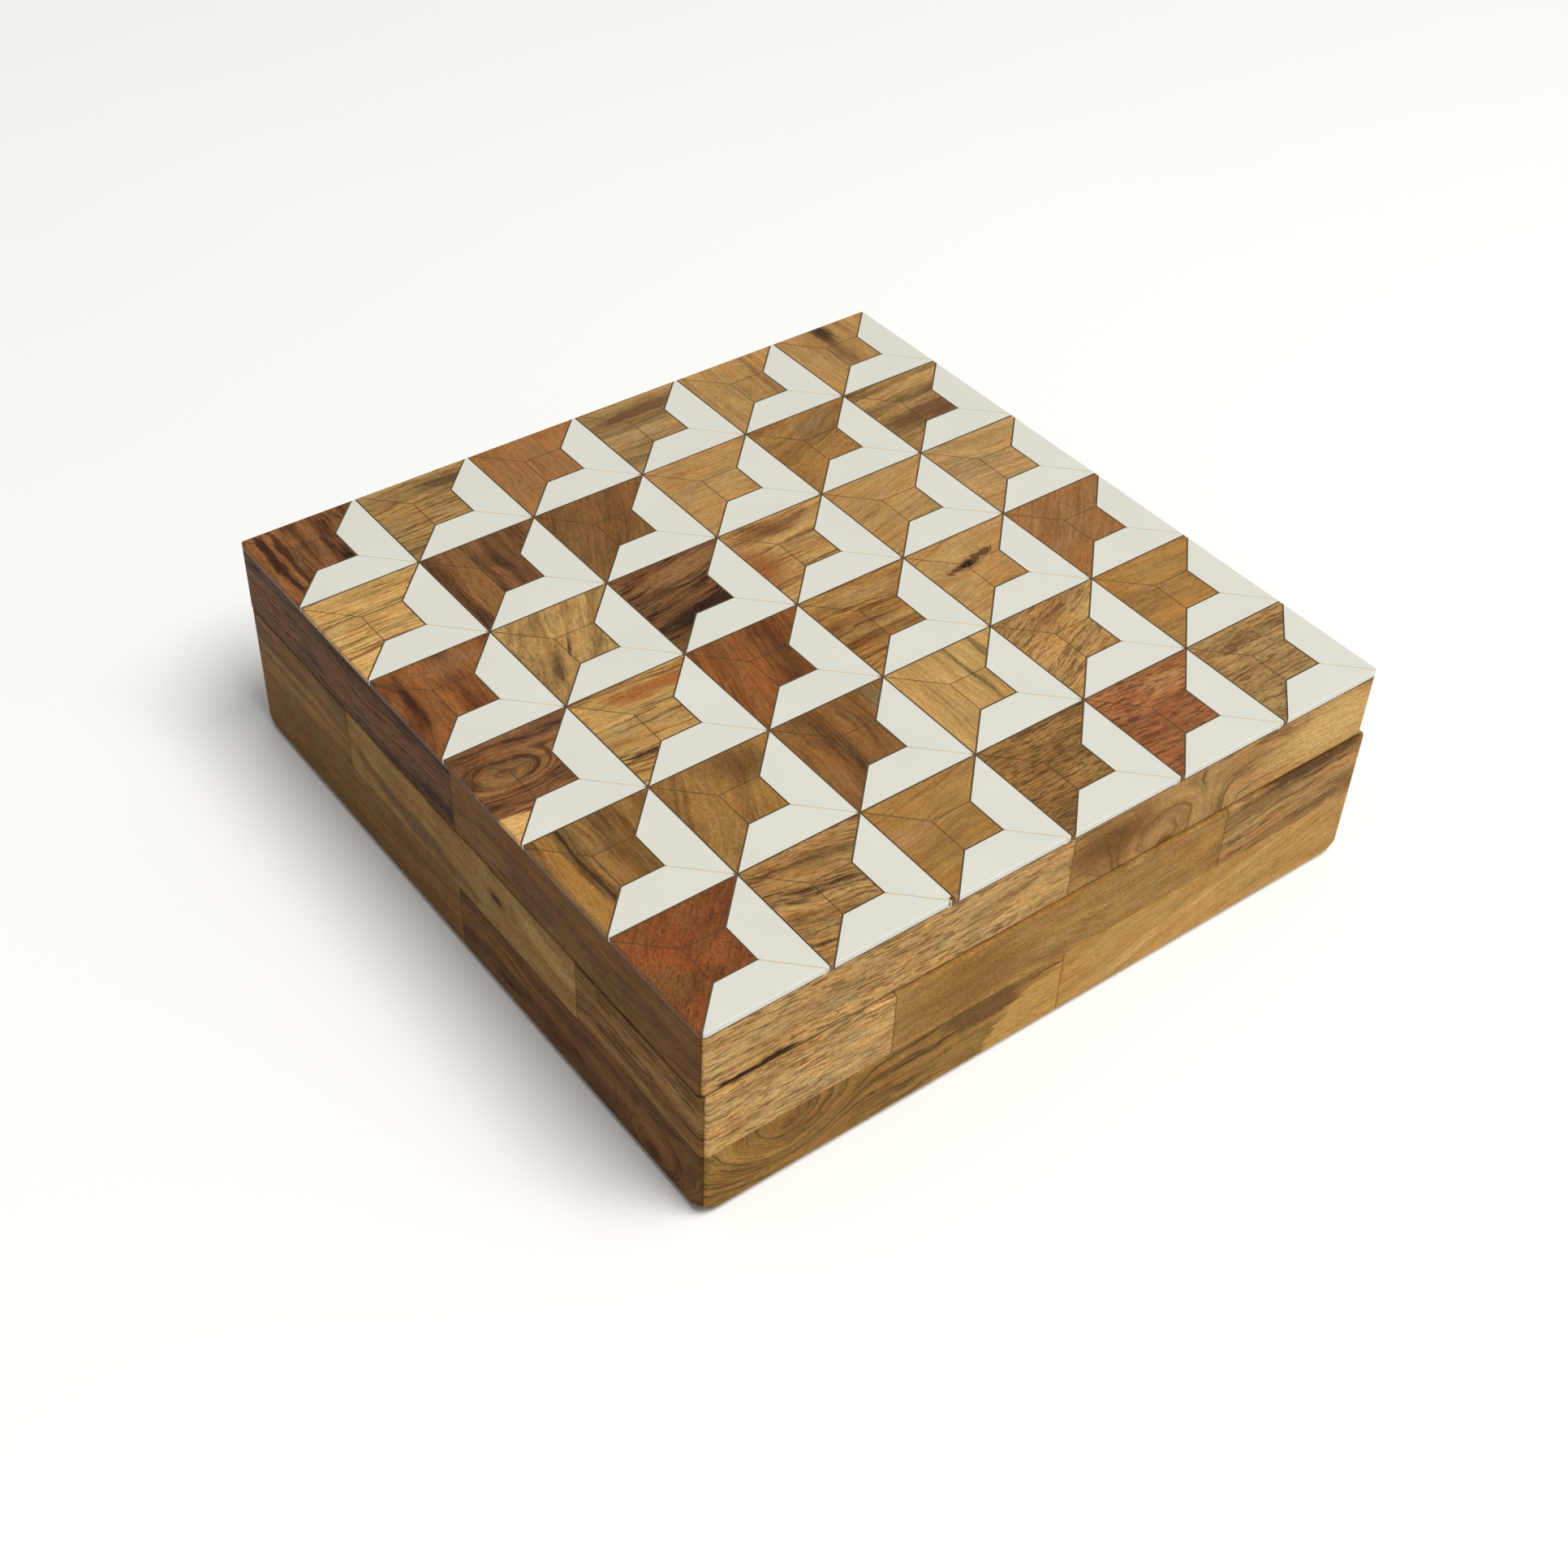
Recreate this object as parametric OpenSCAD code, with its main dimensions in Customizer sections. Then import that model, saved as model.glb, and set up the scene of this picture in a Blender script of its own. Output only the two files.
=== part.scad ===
// Square wooden box with a hinged lid. The sides are faced with hardwood staves laid like bricks, and the lid
// is inlaid with mitred pieces of wood and of white bone-like resin. The origin is the centre of the base's
// underside, +Z is up, +X runs along the front edge and +Y runs from the front to the hinges.

/* [Box] */
// Width and depth of the body
box_w = 200; // [180:1:240]
// Height of one row of side staves
stave_h = 20; // [18:0.5:26]
// Height lost from the upper body row where the closed box was sawn open
saw_kerf = 1.4; // [1:0.1:2]
// Thickness of the hardwood staves
stave_t = 3; // [2:0.5:4]
// Thickness of the core walls and rails behind the staves
core_t = 7; // [7:0.5:9]
// Thickness of the panel that closes the body below
base_panel_t = 5; // [4:0.5:7]
// Radius of the vertical corners
corner_r = 2; // [1.5:0.1:3]
// Width of the sanded arris along both sides of the seam
seam_arris = 0.4; // [0.2:0.1:0.8]
// Width of the sanded arris along the bottom edge
base_arris = 1; // [0.5:0.1:1.4]
// Width of the arris that takes off each bottom corner
corner_arris = 3; // [1.6:0.1:3.5]

/* [Felt] */
// Thickness of the felt under the base
base_felt_t = 0.8; // [0.5:0.1:2]
// Distance from the body's faces to the edge of the base felt
base_felt_inset = 1.5; // [1:0.5:4]
// Thickness of the felt on the floor inside
floor_felt_t = 1.2; // [0.8:0.1:2]
// Gap round the floor felt
floor_felt_gap = 0.3; // [0.1:0.1:1]

/* [Lid] */
// How much narrower the lid is than the body, all of it at the front and right
lid_short = 1; // [0.4:0.2:1.4]
// Gap between the lid and the body when closed
seam_gap = 0.2; // [0.1:0.05:0.3]
// Width of the sanded arris along the top edge
top_arris = 0.2; // [0.1:0.05:0.6]
// Thickness of the core panel under the inlay
lid_panel_t = 5; // [4:0.5:7]

/* [Inlay] */
// Cells along each edge of the lid
cells = 6; // [4:1:8]
// Width taken off the outer cells when the lid was trimmed
cell_trim = 1; // [0.6:0.1:2]
// Thickness of the inlaid pieces
inlay_t = 1.5; // [1:0.1:2.5]
// Thickness of the filler under the inlaid pieces
bed_t = 0.3; // [0.2:0.1:0.6]
// Width of the filler lines round each cell and between wood and white pieces
line_w = 0.4; // [0.2:0.05:0.6]
// Width of the filler lines between white pieces
white_line_w = 0.3; // [0.2:0.05:0.5]
// Width of the joints between wood pieces
wood_line_w = 0.12; // [0.08:0.02:0.3]

/* [Hinges] */
// Distance of each hinge from the middle
hinge_x = 60; // [45:1:75]
// Length of each hinge
hinge_l = 25; // [20:1:32]
// Width of a leaf from the hinge axis
leaf_w = 7.5; // [7:0.1:8]
// Thickness of a leaf
leaf_t = 0.8; // [0.6:0.1:1]
// Outer radius of the knuckles
knuckle_r = 1.8; // [1.6:0.1:2]
// Radius of the hinge pins
pin_r = 0.75; // [0.6:0.05:0.9]
// Distance from the back face to the hinge axis
axis_inset = 0.7; // [0.6:0.1:0.8]
// Furthest angle that the lid opens to
lid_open = 105; // [95:1:110]
// Length of the screws
screw_l = 8; // [6:0.5:10]

/* [Hidden] */
$fn = 48;
SIDES = ["front", "right", "back", "left"];
BACK = 2;

// Stave joints, seen from outside each side: their distance from the middle, as cut by hand
lid_joints = [[1.6], [-2], [1.5], [2]];
upper_joints = [[-49, 52], [-51, 49], [-49, 52], [-50, 52]];
lower_joints = [[2.5], [-3], [2], [1.5]];

// Levels
z_wood = base_felt_t;
z_row = z_wood + stave_h;
z_body = z_row + stave_h - saw_kerf;
z_axis = z_body + seam_gap / 2;
z_lid = z_body + seam_gap;
z_top = z_lid + stave_h;
z_inlay = z_top - inlay_t;
z_bed = z_inlay - bed_t;
z_panel = z_bed - lid_panel_t;
z_floor = z_wood + base_panel_t;

// Widths
lid_w = box_w - lid_short;
body_core_w = box_w - 2 * stave_t;
lid_core_w = lid_w - 2 * stave_t;
cavity_w = body_core_w - 2 * core_t;
lid_corner_r = corner_r - 0.4;
cell_w = (lid_w + 2 * cell_trim) / cells;
diagonal_w = 2 * ((box_w / 2 - corner_r) * sqrt(2) + corner_r); // across opposite corners of the body
diagonal_clearance = 0.02;

// Hinge
y_axis = box_w / 2 - axis_inset;
stop_clearance = 1;
bevel = (lid_open + stop_clearance) / 2;
leaf_gap = 0.15;
knuckle_l = hinge_l / 3;
knuckle_end_gap = 0.1;
knuckle_clearance = 0.25;
pocket_clearance = 0.3;
bore_clearance = 0.05;
screw_x = 8.2;
screw_y = y_axis - 5;
screw_r = 0.8;
pilot_r = 0.75;
head_r = 1.5;
head_h = 0.7;
head_seat = 0.05;
slot_w = 0.4;
slot_depth = 0.35;
tip_h = 1.5;
cut = 0.5; // how far cutting shapes pass beyond what they cut

function stave_count(joints) = len(joints) + 1;
function stave_names(row, joints) =
    [for (s = [0:3]) for (k = [1:stave_count(joints[s])]) str(row, "_stave_", SIDES[s], "_", k)];

// ---- Outlines ----

// Square with true rounded corners
module rounded_square(w, r) {
    square([w, w - 2 * r], center = true);
    square([w - 2 * r, w], center = true);
    for (x = [-1, 1], y = [-1, 1])
        translate([x, y] * (w / 2 - r))
            circle(r);
}

module softened_profile(w, low, high, low_arris, high_arris) {
    polygon([
        [low_arris - w / 2, low], [w / 2 - low_arris, low],
        [w / 2, low + low_arris], [w / 2, high - high_arris],
        [w / 2 - high_arris, high], [high_arris - w / 2, high],
        [-w / 2, high - high_arris], [-w / 2, low + low_arris]
    ]);
}

// Square block with an arris along its lower and upper edges
module softened_block(w, low, high, low_arris, high_arris) {
    intersection() {
        rotate([90, 0, 0])
            linear_extrude(w, center = true)
                softened_profile(w, low, high, low_arris, high_arris);
        rotate([90, 0, 90])
            linear_extrude(w, center = true)
                softened_profile(w, low, high, low_arris, high_arris);
    }
}

module body_block() {
    intersection() {
        softened_block(box_w, z_wood, z_body, base_arris, seam_arris);
        rotate(45)
            softened_block(diagonal_w + diagonal_clearance, z_wood, z_body, corner_arris, seam_arris);
    }
}

module lid_block() {
    softened_block(lid_w, z_lid, z_top, seam_arris, top_arris);
}

// Everything on the lid lines up with the body's left and back faces
module on_lid() {
    translate([-lid_short / 2, lid_short / 2, 0])
        children();
}

// ---- Staves ----

// Plan of one stave of a side, from local x = a to b. Staves that reach a corner are mitred there.
module stave_plan(w, a, b) {
    edge = w / 2;
    inner_a = a <= -edge ? a + stave_t : a;
    inner_b = b >= edge ? b - stave_t : b;
    polygon([[a, -edge], [b, -edge], [inner_b, stave_t - edge], [inner_a, stave_t - edge]]);
}

// Stave k of a side's row, between the joints
module stave(w, r, joints, side, k, z, h) {
    ends = concat([-w / 2], joints[side], [w / 2]);
    translate([0, 0, z])
        linear_extrude(h)
            intersection() {
                rounded_square(w, r);
                rotate(90 * side)
                    stave_plan(w, ends[k - 1], ends[k]);
            }
}

// Groove along the back edge, where the bevelled rims meet when the lid is fully open
module back_groove() {
    reach = axis_inset + lid_short + cut;
    rise = reach * tan(bevel);
    translate([0, y_axis, z_axis])
        rotate([90, 0, 90])
            linear_extrude(box_w + 2 * cut, center = true)
                polygon([[0, 0], [reach, -rise], [reach, rise]]);
}

// Room for one hinge in both rims: a shallow recess for the leaves and a round pocket for the knuckles
module hinge_pocket(side) {
    depth = leaf_gap + leaf_t;
    translate([side * hinge_x, y_axis, z_axis]) {
        rotate([0, 90, 0])
            cylinder(r = knuckle_r + pocket_clearance, h = hinge_l + 2 * pocket_clearance, center = true);
        translate([-hinge_l / 2, -leaf_w, -depth])
            cube([hinge_l, leaf_w, 2 * depth]);
    }
}

module hinge_pockets() {
    hinge_pocket(-1);
    hinge_pocket(1);
}

module lower_stave(side, k) {
    tone = [["#9a7340", "#b68a50"], ["#8f6a3d", "#a37a45"], ["#a07a48", "#85603a"], ["#8a6a3c", "#6f4a2c"]];
    color(tone[side][k - 1])
        intersection() {
            stave(box_w, corner_r, lower_joints, side, k, z_wood, stave_h);
            body_block();
        }
}

module upper_stave(side, k) {
    tone = ["#b98c54", "#a5834a", "#93714a"];
    color(tone[(k - 1 + side) % 3])
        difference() {
            intersection() {
                stave(box_w, corner_r, upper_joints, side, k, z_row, z_body - z_row);
                body_block();
            }
            back_groove();
            if (side == BACK)
                hinge_pockets();
        }
}

module lid_stave(side, k) {
    tone = [["#b3864f", "#a27a45"], ["#ab8149", "#7e5836"], ["#9a7344", "#a98150"], ["#69472f", "#8a6440"]];
    color(tone[side][k - 1])
        difference() {
            on_lid()
                intersection() {
                    stave(lid_w, lid_corner_r, lid_joints, side, k, z_lid, z_bed - z_lid);
                    lid_block();
                }
            back_groove();
            if (side == BACK)
                hinge_pockets();
        }
}

// ---- Body core ----

// Core wall or rail of one side. Front and back run the full width, and left and right stand between them.
module core_wall(w, side, z, h) {
    length = side % 2 == 0 ? w : w - 2 * core_t;
    rotate(90 * side)
        translate([-length / 2, -w / 2, z])
            cube([length, core_t, h]);
}

// Pilot holes for the hinge screws, downwards (dir = -1) or upwards (dir = 1) from the seam
module pilot_holes(dir) {
    for (x = [-hinge_x, hinge_x], s = [-1, 1])
        translate([x + s * screw_x, screw_y, z_axis])
            mirror([0, 0, dir < 0 ? 1 : 0])
                cylinder(r = pilot_r, h = leaf_gap + screw_l);
}

module body_wall(side) {
    color("#c2a27a")
        difference() {
            core_wall(body_core_w, side, z_wood, z_body - z_wood);
            if (side == BACK) {
                hinge_pockets();
                pilot_holes(-1);
            }
        }
}

module base_panel() {
    color("#b9976c")
        translate([-cavity_w / 2, -cavity_w / 2, z_wood])
            cube([cavity_w, cavity_w, base_panel_t]);
}

module floor_lining() {
    w = cavity_w - 2 * floor_felt_gap;
    color("#1c1a19")
        translate([-w / 2, -w / 2, z_floor])
            cube([w, w, floor_felt_t]);
}

module base_felt() {
    color("#1c1a19")
        linear_extrude(base_felt_t)
            rounded_square(box_w - 2 * base_felt_inset, corner_r + corner_arris);
}

// ---- Lid core ----

module lid_rail(side) {
    color("#c2a27a")
        difference() {
            on_lid()
                core_wall(lid_core_w, side, z_lid, z_panel - z_lid);
            if (side == BACK) {
                hinge_pockets();
                pilot_holes(1);
            }
        }
}

module lid_panel() {
    color("#b9976c")
        on_lid()
            translate([-lid_core_w / 2, -lid_core_w / 2, z_panel])
                cube([lid_core_w, lid_core_w, lid_panel_t]);
}

// ---- Inlay ----

// Mitred border piece along the front edge of a cell, drawn inside the lines round it. The lines at its
// left mitre, its right mitre and its inner edge have their own widths.
module border_piece(left_w, right_w, inner_w) {
    low = line_w / 2;
    high = cell_w / 3 - inner_w / 2;
    left = left_w / sqrt(2);
    right = cell_w - right_w / sqrt(2);
    polygon([[left + low, low], [right - low, low], [right - high, high], [left + high, high]]);
}

// Border piece turned to one side of its cell: 0 front and 1 right are white, 2 back and 3 left are wood
module turned_border_piece(side) {
    lines = [
        [line_w, white_line_w, line_w],
        [white_line_w, line_w, line_w],
        [line_w, wood_line_w, wood_line_w],
        [wood_line_w, line_w, wood_line_w]
    ];
    translate([cell_w / 2, cell_w / 2])
        rotate(90 * side)
            translate([-cell_w / 2, -cell_w / 2])
                border_piece(lines[side][0], lines[side][1], lines[side][2]);
}

// Square in the middle of a cell, with white pieces in front and at the right
module centre_piece() {
    third = cell_w / 3;
    width = third - line_w / 2 - wood_line_w / 2;
    translate([third + wood_line_w / 2, third + line_w / 2])
        square(width);
}

// The same piece in every cell, trimmed to the lid's outline
module in_every_cell() {
    start = -cells * cell_w / 2;
    intersection() {
        union() {
            for (i = [0:cells - 1], j = [0:cells - 1])
                translate([start + i * cell_w, start + j * cell_w])
                    children();
        }
        rounded_square(lid_w, lid_corner_r);
    }
}

module inlay_layer() {
    on_lid()
        intersection() {
            translate([0, 0, z_inlay])
                linear_extrude(inlay_t)
                    in_every_cell()
                        children();
            lid_block();
        }
}

module white_front() {
    color("#e9e7df") inlay_layer() turned_border_piece(0);
}

module white_right() {
    color("#e9e7df") inlay_layer() turned_border_piece(1);
}

module wood_back() {
    color("#9c7142") inlay_layer() turned_border_piece(2);
}

module wood_left() {
    color("#8d6238") inlay_layer() turned_border_piece(3);
}

module wood_centre() {
    color("#a87c4a") inlay_layer() centre_piece();
}

// One bed under the whole inlay, with the lines that stand up between its pieces
module joint_filler() {
    color("#5d452c")
        on_lid() {
            translate([0, 0, z_bed])
                linear_extrude(bed_t)
                    rounded_square(lid_w, lid_corner_r);
            intersection() {
                translate([0, 0, z_inlay])
                    linear_extrude(inlay_t)
                        difference() {
                            rounded_square(lid_w, lid_corner_r);
                            in_every_cell() {
                                for (side = [0:3])
                                    turned_border_piece(side);
                                centre_piece();
                            }
                        }
                lid_block();
            }
        }
}

// ---- Hinges ----

module knuckle(length, clearance) {
    rotate([0, 90, 0])
        cylinder(r = knuckle_r + clearance, h = length, center = true);
}

// Screw holes through a leaf that lies above z = 0, with countersinks open downwards
module leaf_holes() {
    for (s = [-1, 1])
        translate([s * screw_x, screw_y - y_axis, leaf_gap]) {
            translate([0, 0, -cut])
                cylinder(r = screw_r + bore_clearance, h = leaf_t + 2 * cut);
            cylinder(r1 = head_r + head_seat, r2 = screw_r + head_seat, h = head_h);
        }
}

// Leaf above the hinge axis with the middle knuckle. The axis is the local X axis.
module lid_leaf() {
    middle = knuckle_l - 2 * knuckle_end_gap;
    difference() {
        union() {
            knuckle(middle, 0);
            difference() {
                translate([-hinge_l / 2, -leaf_w, leaf_gap])
                    cube([hinge_l, leaf_w, leaf_t]);
                for (s = [-1, 1])
                    translate([s * knuckle_l, 0, 0])
                        knuckle(knuckle_l + 2 * knuckle_end_gap, knuckle_clearance);
            }
        }
        rotate([0, 90, 0])
            cylinder(r = pin_r + bore_clearance, h = hinge_l, center = true);
        leaf_holes();
    }
}

// Leaf below the hinge axis with the two outer knuckles
module body_leaf() {
    difference() {
        union() {
            knuckle(hinge_l - 2 * knuckle_end_gap, 0);
            translate([-hinge_l / 2, -leaf_w, -leaf_gap - leaf_t])
                cube([hinge_l, leaf_w, leaf_t]);
        }
        knuckle(knuckle_l, knuckle_clearance);
        rotate([0, 90, 0])
            cylinder(r = pin_r, h = hinge_l + 2 * cut, center = true);
        mirror([0, 0, 1])
            leaf_holes();
    }
}

module at_hinge(side) {
    translate([side * hinge_x, y_axis, z_axis])
        children();
}

module hinge_pin(side) {
    color("#a8894a")
        at_hinge(side)
            rotate([0, 90, 0])
                cylinder(r = pin_r, h = hinge_l, center = true);
}

// Slotted countersunk screw that points up, with its head's face at z = 0
module screw() {
    difference() {
        union() {
            cylinder(r1 = head_r, r2 = screw_r, h = head_h);
            translate([0, 0, head_h])
                cylinder(r = screw_r, h = screw_l - head_h - tip_h);
            translate([0, 0, screw_l - tip_h])
                cylinder(r1 = screw_r, r2 = 0, h = tip_h);
        }
        translate([-head_r - cut, -slot_w / 2, -cut])
            cube([2 * head_r + 2 * cut, slot_w, slot_depth + cut]);
    }
}

module leaf_screws() {
    for (x = [-hinge_x, hinge_x], s = [-1, 1])
        translate([x + s * screw_x, screw_y, leaf_gap])
            rotate(40 * s + x / 4)
                screw();
}

module lid_screws() {
    color("#c4a560")
        translate([0, 0, z_axis])
            leaf_screws();
}

module body_screws() {
    color("#c4a560")
        translate([0, 0, z_axis])
            mirror([0, 0, 1])
                leaf_screws();
}

// ---- What is drawn ----

base_felt();
base_panel();
floor_lining();
for (s = [0:3])
    body_wall(s);
for (s = [0:3], k = [1:stave_count(lower_joints[s])])
    lower_stave(s, k);
for (s = [0:3], k = [1:stave_count(upper_joints[s])])
    upper_stave(s, k);
for (h = [["left", -1], ["right", 1]]) {
    color("#b89653") at_hinge(h[1]) body_leaf();
    color("#b89653") at_hinge(h[1]) lid_leaf();
    hinge_pin(h[1]);
}
body_screws();
lid_screws();
for (s = [0:3])
    lid_rail(s);
lid_panel();
for (s = [0:3], k = [1:stave_count(lid_joints[s])])
    lid_stave(s, k);
joint_filler();
white_front();
white_right();
wood_left();
wood_back();
wood_centre();
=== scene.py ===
"""Square wooden box with a hinged lid, inlaid with mitred pieces of wood and white resin."""
import math
import random

import bmesh
import bpy
from mathutils import Color, Matrix, Quaternion, Vector


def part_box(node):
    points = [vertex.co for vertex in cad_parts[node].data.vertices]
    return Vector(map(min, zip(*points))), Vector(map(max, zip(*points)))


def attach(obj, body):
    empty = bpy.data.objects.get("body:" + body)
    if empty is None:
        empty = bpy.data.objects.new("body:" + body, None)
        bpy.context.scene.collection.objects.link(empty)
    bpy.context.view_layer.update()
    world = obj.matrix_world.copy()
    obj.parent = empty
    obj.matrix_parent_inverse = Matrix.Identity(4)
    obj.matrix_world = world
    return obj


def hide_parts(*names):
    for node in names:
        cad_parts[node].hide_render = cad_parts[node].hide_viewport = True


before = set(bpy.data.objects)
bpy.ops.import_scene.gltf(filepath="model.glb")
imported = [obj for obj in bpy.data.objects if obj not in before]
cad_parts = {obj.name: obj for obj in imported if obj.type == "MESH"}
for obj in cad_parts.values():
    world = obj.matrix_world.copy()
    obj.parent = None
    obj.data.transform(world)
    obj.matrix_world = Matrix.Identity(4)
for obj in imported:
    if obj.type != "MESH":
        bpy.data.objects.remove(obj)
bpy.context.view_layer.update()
MM = 0.001
SIDES = ("front", "right", "back", "left")
CELLS_A_SIDE = 6
# Width of the lines beside a centre square, and half the height of a row of staves in mm
GRID_LINES = 0.26 * MM
ROW_HALF_HEIGHT = 10.0

# How far the edges of each kind of piece are rounded
INLAY_ROUNDING = 0.06 * MM
STAVE_ROUNDING = 0.12 * MM
FELT_ROUNDING = 0.25 * MM
# Vertices closer than this are made one, and so are faces this close to level. Edges sharper than the
# last two angles are rounded, and kept sharp in the shading.
MERGE_DISTANCE = 1e-6
FLAT_WITHIN = math.radians(0.5)
ROUND_ABOVE = math.radians(25)
SHARP_ABOVE = math.radians(50)

# Specular level of the wood: the lid has more of a sheen than the sides
LID_SHINE = 0.12
SIDE_SHINE = 0.03
# Depth in metres of the pores and ripples in the surface of the inlay, the filler and the staves
FINE_RELIEF = 0.00003
# Each block of wood comes from its own place in the noise, at most this many mm away on each axis
BLOCK_SPREAD = 400

# Strength of the light from all round, and how far the floor reaches in metres
WORLD_STRENGTH = 0.34
FLOOR_REACH = 6.0


# ---- Shader nodes ----

class Shader:
    """A material under construction: each call adds a node and returns its output."""

    def __init__(self, name):
        self.material = bpy.data.materials.new(name)
        self.material.use_nodes = True
        self.tree = self.material.node_tree
        self.tree.nodes.clear()

    def node(self, kind, inputs, **settings):
        """A node with its settings and inputs. An input is another node's output or a value."""
        made = self.tree.nodes.new("ShaderNode" + kind)
        for key, value in settings.items():
            setattr(made, key, value)
        for key, value in inputs.items():
            if isinstance(value, bpy.types.NodeSocket):
                self.tree.links.new(value, made.inputs[key])
            else:
                made.inputs[key].default_value = value
        return made

    def math(self, operation, a, b=0.0, c=0.0, clamp=False):
        return self.node("Math", {0: a, 1: b, 2: c}, operation=operation, use_clamp=clamp).outputs[0]

    def add(self, *terms):
        total = terms[0]
        for term in terms[1:]:
            total = self.math("ADD", total, term)
        return total

    def minus(self, a, b):
        return self.math("SUBTRACT", a, b)

    def times(self, *factors):
        product = factors[0]
        for factor in factors[1:]:
            product = self.math("MULTIPLY", product, factor)
        return product

    def mix(self, factor, a, b):
        """a where factor is 0 and b where it is 1."""
        return self.math("MULTIPLY_ADD", self.minus(b, a), factor, a)

    def length(self, a, b):
        return self.math("SQRT", self.add(self.times(a, a), self.times(b, b)))

    def step(self, value, low, high, to_low=0.0, to_high=1.0):
        """Smooth step from to_low at low to to_high at high."""
        inputs = {"Value": value, "From Min": low, "From Max": high, "To Min": to_low, "To Max": to_high}
        return self.node("MapRange", inputs, interpolation_type="SMOOTHSTEP").outputs[0]

    def split(self, vector):
        return self.node("SeparateXYZ", {0: vector}).outputs[:3]

    def join(self, x, y, z):
        return self.node("CombineXYZ", {0: x, 1: y, 2: z}).outputs[0]

    def noise(self, vector, scale, detail, roughness=0.5):
        inputs = {"Vector": vector, "Scale": scale, "Detail": detail, "Roughness": roughness}
        return self.node("TexNoise", inputs).outputs[0]

    def grain(self, x, y, z, along, across, detail, seed=0.0):
        """Noise drawn out along x: its features are about along by across, in the units of x and y."""
        vector = self.join(self.times(x, 1 / along), self.times(y, 1 / across),
                           self.math("MULTIPLY_ADD", z, 1 / across, seed))
        return self.noise(vector, 1.0, detail)

    def attribute(self, name, output="Vector"):
        return self.node("Attribute", {}, attribute_name=name).outputs[output]

    def place(self):
        """The row frame's coordinates in mm."""
        co = self.node("TexCoord", {}).outputs["Object"]
        return self.node("VectorMath", {0: co, 3: 1 / MM}, operation="SCALE").outputs[0]

    def blend(self, factor, a, b, mode="MIX"):
        made = self.node("Mix", {0: factor, 6: a, 7: b}, data_type="RGBA", blend_type=mode)
        return made.outputs[2]

    def surface(self, colour, roughness, height=None, depth=0.0, **sockets):
        """Ends the material. height is a bump from 0 to 1, and depth is its size in metres."""
        inputs = {"Base Color": colour, "Roughness": roughness}
        for key, value in sockets.items():
            inputs[key.replace("_", " ")] = value
        if height is not None:
            bump = self.node("Bump", {"Strength": 1.0, "Distance": depth, "Height": height})
            inputs["Normal"] = bump.outputs[0]
        shader = self.node("BsdfPrincipled", inputs)
        self.node("OutputMaterial", {0: shader.outputs[0]})
        return self.material


def rgb(code, share=1.0):
    """Scene-linear colour of a six-digit code, times share."""
    colour = Color([int(code[k:k + 2], 16) / 255 for k in (0, 2, 4)]).from_srgb_to_scene_linear()
    return [c * share for c in colour] + [1.0]


# ---- Materials ----

# What multiplies the wood's colour in its warmer and cooler patches, and its dark tone in lines and pores
WARMER = [1.06, 0.97, 0.88, 1.0]
COOLER = [0.94, 1.02, 1.08, 1.0]
DEEPER = [0.42, 0.36, 0.32, 1.0]


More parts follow.
